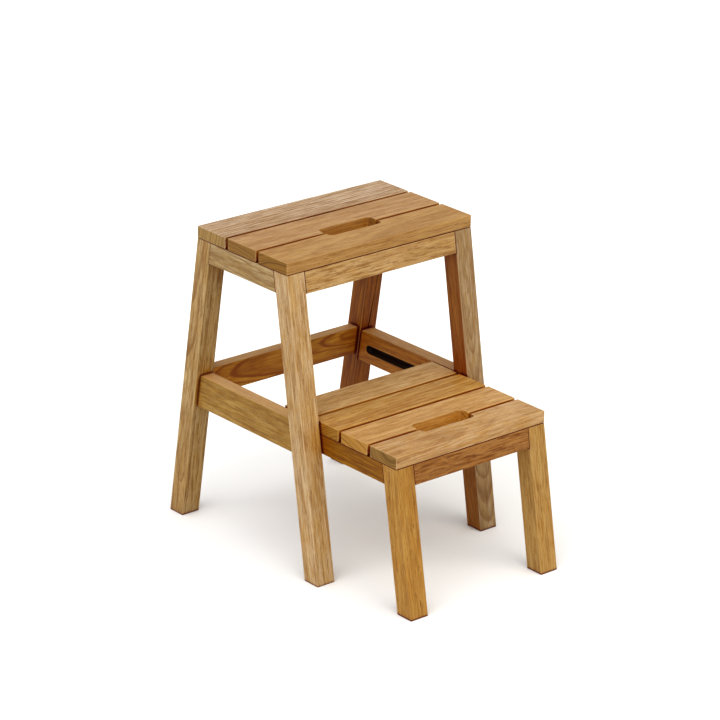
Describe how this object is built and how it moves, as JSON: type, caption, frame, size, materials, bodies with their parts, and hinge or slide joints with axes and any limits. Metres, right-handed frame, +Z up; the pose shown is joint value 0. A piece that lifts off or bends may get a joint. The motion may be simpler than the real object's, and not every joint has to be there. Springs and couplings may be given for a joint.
{
  "type": "step stool",
  "caption": "Slatted wooden step stool with splayed legs, a hand-hole in each tread, and a lower step that slides out between the front legs.",
  "frame": {"origin": "on the floor, under the centre of the overall box with the step pulled out", "axes": "+Z up, -Y towards the front, where the step is, and +X to the right of a person who stands in front and faces +Y"},
  "size_m": [0.35, 0.53, 0.48],
  "materials": {
    "teak": "oiled teak with straight grain",
    "steel": "plain stainless steel",
    "black_nylon": "black nylon"
  },
  "bodies": {
    "stool": {"top_slat_rear": "teak", "top_slat_middle": "teak", "top_slat_front": "teak", "leg_front_left": "teak", "leg_front_right": "teak", "leg_rear_left": "teak", "leg_rear_right": "teak", "apron_front": "teak", "apron_rear": "teak", "apron_left": "teak", "apron_right": "teak", "side_stretcher_left": "teak", "side_stretcher_right": "teak", "rear_stretcher": "teak", "top_screw_left_rear": "steel", "top_screw_left_middle_rear": "steel", "top_screw_left_middle_front": "steel", "top_screw_left_front": "steel", "top_screw_right_rear": "steel", "top_screw_right_middle_rear": "steel", "top_screw_right_middle_front": "steel", "top_screw_right_front": "steel", "apron_screw_front_left": "steel", "apron_screw_front_right": "steel", "apron_screw_rear_left": "steel", "apron_screw_rear_right": "steel"},
    "guides": {"guide_bolt_left": "steel", "guide_bolt_right": "steel", "guide_roller_left": "black_nylon", "guide_roller_right": "black_nylon"},
    "step": {"step_slat_1": "teak", "step_slat_2": "teak", "step_slat_3": "teak", "step_slat_4": "teak", "step_leg_left": "teak", "step_leg_right": "teak", "step_rail_left": "teak", "step_rail_right": "teak", "step_apron_front": "teak", "step_rail_rear": "teak", "step_screw_left_1": "steel", "step_screw_left_2": "steel", "step_screw_left_3": "steel", "step_screw_left_4": "steel", "step_screw_right_1": "steel", "step_screw_right_2": "steel", "step_screw_right_3": "steel", "step_screw_right_4": "steel", "step_apron_screw_left": "steel", "step_apron_screw_right": "steel"}
  },
  "joints": [
    {"name": "step_slide", "type": "slide", "parent": "stool", "child": "guides", "axis": [0, 1, 0], "range_m": [0, 0.17]},
    {"name": "step_lift", "type": "hinge", "parent": "guides", "child": "step", "pos_m": [0, 0.00584, 0.2125], "axis": [-1, 0, 0], "range_deg": [0, 5]}
  ]
}
